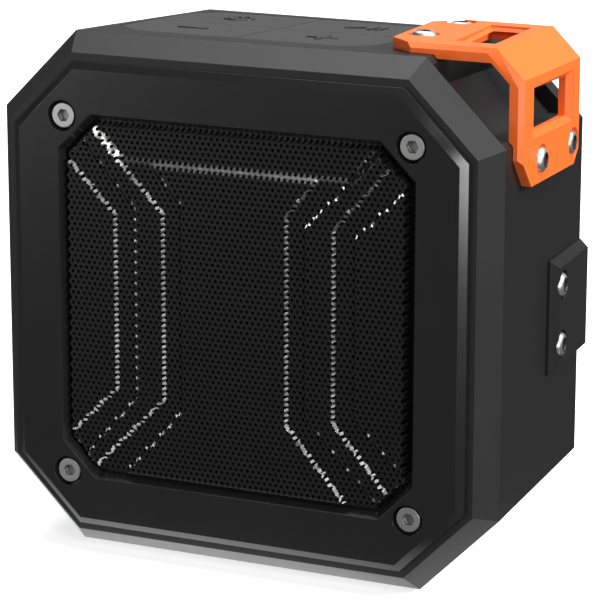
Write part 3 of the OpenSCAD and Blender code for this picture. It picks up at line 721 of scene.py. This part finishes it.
@dataclass
class Screws(Fitted):
    """The bright screws that show, each with painted shade in its hexagon socket.

    Attributes:
        groups: CAD node, the way the heads face and the painted shade of the sockets, for each group.
        socket: Radius of the hexagon socket.
        apart: Least distance between the axes of two screws.
        small: Greatest area of a face that can be in a socket.
    """

    groups: tuple[tuple[str, Point, Finish], ...] = (
        ("bezel_screws", (0, -1, 0), SOCKET_PALE_PAINTED_SHADE),
        ("back_cover_screws", (0, 1, 0), SOCKET_PAINTED_SHADE),
        ("guard_top_screws", TOP_OUT, SOCKET_PAINTED_SHADE),
        ("guard_side_screws", SIDE_OUT, SOCKET_PAINTED_SHADE),
        ("side_plate_screws", SIDE_OUT, SOCKET_PAINTED_SHADE),
    )
    socket: float = 1.22 * MM
    apart: float = 6 * MM
    small: float = 4 * MM * MM

    def build(self) -> None:
        """Make each group and paint shade into its sockets."""
        for name, out, finish in self.groups:
            piece = self.softened(name, SCREW_BRIGHT, "case", 0.12 * MM, "screw_steel")
            # The second slot holds the painted shade of the sockets.
            piece.data.materials.append(self.paint.material(finish))
            self._paint_socket_shade(piece, Vector(out).normalized())

    def _paint_socket_shade(self, piece: bpy.types.Object, out: Vector) -> None:
        """Give the faces inside each socket a darker finish: painted shade in the recess.

        Args:
            piece: A group of screws.
            out: The way their heads face.
        """
        mesh = piece.data
        spots = [vertex.co - out * vertex.co.dot(out) for vertex in mesh.vertices]
        firsts: list[Vector] = []
        for spot in spots:
            if all((spot - first).length > self.apart for first in firsts):
                firsts.append(spot)
        axes = []
        for first in firsts:
            near = [spot for spot in spots if (spot - first).length < self.apart]
            low = Vector(min(spot[i] for spot in near) for i in range(3))
            high = Vector(max(spot[i] for spot in near) for i in range(3))
            axes.append((low + high) / 2)
        for face in mesh.polygons:
            flat = face.center - out * face.center.dot(out)
            inside = min((flat - axis).length for axis in axes) < self.socket
            # Small faces near a screw's axis get the painted socket shade.
            if inside and face.area < self.small:
                face.material_index = 1


@dataclass
class Keypad(Fitted):
    """Four soft keys, each with a raised black mark.

    Attributes:
        keys: CAD node and body of each key.
        lean: Angle at which the top falls to the back.
        height: Height of the top at the front of the housing.
        front: Depth of the front of the housing.
        proud: How far a mark stands above the top, at least.
    """

    keys: dict[str, str] = field(default_factory=lambda: {
        "key_minus": "minus_key", "key_plus": "plus_key",
        "key_power": "power_key", "key_play": "play_key"})
    lean: float = math.atan(2.6 / 48)
    height: float = 98.6 * MM
    front: float = -24 * MM
    proud: float = 0.05 * MM

    def build(self) -> None:
        """Make the keys and blacken their marks."""
        for node, body in self.keys.items():
            piece = self.softened(node, KEY_SKIN, body, 0.16 * MM, "key_rubber")
            piece.data.materials.append(self.paint.material(ICON_BLACK))
            for face in piece.data.polygons:
                middle = face.center
                top = self.height - (middle.y - self.front) * math.tan(self.lean)
                if middle.z > top + self.proud:
                    face.material_index = 1


@dataclass
class Inside(Fitted):
    """Everything that stays as its CAD solid, each with its own finish.

    Attributes:
        finishes: The nodes that take each finish.
    """

    finishes: tuple[tuple[Finish, tuple[str, ...]], ...] = (
        (CLOTH_BLACK, ("grille_cloth",)),
        (SEAL_GREY, ("front_seal", "back_seal")),
        (RUBBER_BLACK, ("keypad_mat", "driver_gasket", "driver_surround", "radiator_surround")),
        (BOARD_GREEN, ("key_board", "main_board")),
        (SCREW_ZINC, ("key_switches", "key_board_screws", "radiator_screws", "driver_screws",
                      "board_screws", "driver_top_plate", "driver_yoke", "usb_socket", "card_slot",
                      "bluetooth_module")),
        (INNER_BLACK, ("plunger_minus", "plunger_plus", "plunger_power", "plunger_play",
                       "radiator_frame", "amplifier", "aux_socket", "battery_tray")),
        (ALLOY_CAST, ("driver_basket", "radiator_plate")),
        (FERRITE_DARK, ("driver_magnet",)),
        (CONE_PAPER, ("driver_cone", "dust_cap")),
        (COIL_COPPER, ("voice_coil",)),
        (SPIDER_CLOTH, ("driver_spider",)),
        (TAG_BRASS, ("driver_terminals",)),
        (WIRE_RED, ("speaker_leads", "battery_leads")),
        (CELL_WRAP, ("battery_pack",)),
    )

    def build(self) -> None:
        """Give every carried-over node its finish."""
        for finish, names in self.finishes:
            for name in names:
                for slot in self.node(name).material_slots:
                    slot.material = self.paint.material(finish)


# ---------------------------------------------------------------- studio


def split_rays(tree: bpy.types.NodeTree, seen: bpy.types.Node, lit: bpy.types.Node, output: str) -> None:
    """Show one shader to the camera and another to every other ray.

    Args:
        tree: The node tree that holds them.
        seen: The shader that the camera sees.
        lit: The shader that lights the object.
        output: Name of the tree's output node.
    """
    ray = tree.nodes.new("ShaderNodeLightPath")
    mix = tree.nodes.new("ShaderNodeMixShader")
    tree.links.new(ray.outputs["Is Camera Ray"], mix.inputs["Fac"])
    tree.links.new(lit.outputs[0], mix.inputs[1])
    tree.links.new(seen.outputs[0], mix.inputs[2])
    tree.links.new(mix.outputs[0], tree.nodes[output].inputs["Surface"])


@dataclass
class Floor:
    """A wide floor, pale to the camera, that lights the object only from close by.

    Attributes:
        side: Its width and depth.
        drop: How far it lies under the feet.
        shade: Its grey.
        rough: Its roughness.
        seen: Strength of the light it adds where the camera sees it.
        squash: How much each axis counts in the distance from the object.
        shift: What is added to that distance along each axis.
        reach: The distances between which its glow fades.
        glow: Strength of the glow at those two distances.
    """

    side: float = 8.0
    drop: float = 0.0002
    shade: float = 0.9
    rough: float = 0.8
    seen: float = 0.7
    squash: Point = (0.6, 1.5, 1.0)
    shift: Point = (0.005, 0.01, 0.0)
    reach: tuple[float, float] = (0.03, 0.055)
    glow: tuple[float, float] = (2.1, 0.09)

    def build(self) -> None:
        """Lay the floor."""
        bpy.ops.mesh.primitive_plane_add(size=self.side, location=(0, 0, -self.drop))
        floor = bpy.context.object
        floor.name = "floor"
        floor.data.materials.append(self._material())

    def _material(self) -> bpy.types.Material:
        """Make the floor's material.

        Returns:
            The material.
        """
        material = bpy.data.materials.new("floor_white")
        material.use_nodes = True
        nodes, links = material.node_tree.nodes, material.node_tree.links
        seen = nodes["Principled BSDF"]
        seen.inputs["Base Color"].default_value = (self.shade, self.shade, self.shade, 1.0)
        seen.inputs["Roughness"].default_value = self.rough
        seen.inputs["Emission Color"].default_value = (1.0, 1.0, 1.0, 1.0)
        seen.inputs["Emission Strength"].default_value = self.seen
        where = nodes.new("ShaderNodeTexCoord")
        shift = nodes.new("ShaderNodeVectorMath")
        shift.operation = "MULTIPLY_ADD"
        shift.inputs[1].default_value = self.squash
        shift.inputs[2].default_value = self.shift
        far = nodes.new("ShaderNodeVectorMath")
        far.operation = "LENGTH"
        fade = nodes.new("ShaderNodeMapRange")
        fade.inputs["From Min"].default_value, fade.inputs["From Max"].default_value = self.reach
        fade.inputs["To Min"].default_value, fade.inputs["To Max"].default_value = self.glow
        lit = nodes.new("ShaderNodeEmission")
        links.new(where.outputs["Object"], shift.inputs[0])
        links.new(shift.outputs["Vector"], far.inputs[0])
        links.new(far.outputs["Value"], fade.inputs["Value"])
        links.new(fade.outputs[0], lit.inputs["Strength"])
        split_rays(material.node_tree, seen, lit, "Material Output")
        return material


@dataclass
class Studio:
    """Floor, lights and camera.

    Attributes:
        camera_at: Where the camera stands.
        right: The camera's right.
        up: The camera's up.
        back: The camera's back.
        lens: Focal length in millimetres.
        sensor: Width of the sensor in millimetres.
        clip: Nearest and farthest distance that the camera sees.
        lamps: Name, place, target, size and power of each soft light.
        world_seen: Strength of the world where the camera sees it.
        world_lit: Strength of the world's light on the object.
    """

    camera_at: Point = (0.23202, -0.4984, 0.18509)
    right: Point = (0.90598, 0.42332, 0.00169)
    up: Point = (-0.10554, 0.222, 0.96932)
    back: Point = (0.40995, -0.87836, 0.24581)
    lens: float = 178.9
    sensor: float = 36.0
    clip: tuple[float, float] = (0.01, 20.0)
    lamps: tuple[tuple[str, Point, Point, tuple[float, float], float], ...] = (
        ("overhead", (0.0, 0.15, 0.8), (0.0, 0.0, 0.05), (0.8, 0.8), 8.0),
        ("right_side", (1.0, 0.3, 0.65), (0.05, 0.0, 0.06), (0.6, 0.5), 15.0),
        ("front_high", (0.52, -0.76, 0.75), (0.0, 0.0, 0.05), (0.3, 0.3), 2.5),
        ("right_front", (0.72, -0.58, 0.1), (0.0, -0.03, 0.05), (0.35, 0.3), 4.0),
        ("behind", (-0.45, 1.1, 0.4), (0.0, 0.0, 0.1), (1.6, 0.5), 1.0),
        ("left_low", (-0.6, -0.7, 0.05), (-0.04, -0.03, 0.05), (0.25, 0.3), 1.8),
    )
    world_seen: float = 1.0
    world_lit: float = 0.06

    def build(self) -> None:
        """Set up the floor, the lights, the world and the camera."""
        Floor().build()
        self._world()
        for name, place, target, size, power in self.lamps:
            self._lamp(name, place, target, size, power)
        self._camera()
        bpy.context.scene.view_settings.view_transform = "Standard"

    def _world(self) -> None:
        """White to the camera and dimmer to the object."""
        world = bpy.data.worlds.new("studio")
        bpy.context.scene.world = world
        world.use_nodes = True
        seen = world.node_tree.nodes["Background"]
        lit = world.node_tree.nodes.new("ShaderNodeBackground")
        for shader, strength in ((seen, self.world_seen), (lit, self.world_lit)):
            shader.inputs["Color"].default_value = (1, 1, 1, 1)
            shader.inputs["Strength"].default_value = strength
        split_rays(world.node_tree, seen, lit, "World Output")

    def _lamp(self, name: str, place: Point, target: Point, size: tuple[float, float], power: float) -> None:
        """Hang one soft light.

        Args:
            name: The light's name.
            place: Where it hangs.
            target: What it faces.
            size: Its width and height.
            power: Its power in watts.
        """
        aim = (Vector(target) - Vector(place)).to_track_quat("-Z", "Y").to_euler()
        bpy.ops.object.light_add(type="AREA", location=place, rotation=aim)
        lamp = bpy.context.object
        lamp.name = name
        lamp.data.shape = "RECTANGLE"
        lamp.data.size, lamp.data.size_y = size
        lamp.data.energy = power

    def _camera(self) -> None:
        """Place the camera."""
        turn = Matrix((self.right, self.up, self.back)).transposed().to_euler()
        bpy.ops.object.camera_add(location=self.camera_at, rotation=turn)
        camera = bpy.context.object
        camera.data.sensor_width = self.sensor
        camera.data.lens = self.lens
        camera.data.clip_start, camera.data.clip_end = self.clip
        bpy.context.scene.camera = camera


def main() -> None:
    """Load the frame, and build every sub-assembly and the studio."""
    logging.basicConfig(level=logging.INFO, format="%(name)s: %(message)s")
    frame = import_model()
    for thing in bpy.context.selected_objects:
        thing.select_set(False)
    paint = Paint()
    Studio().build()
    Case(frame, paint).build()
    CornerGuard(frame, paint).build()
    Screws(frame, paint).build()
    Keypad(frame, paint).build()
    Inside(frame, paint).build()
    PressedGrille(frame, paint).build()


if __name__ == "__main__":
    main()
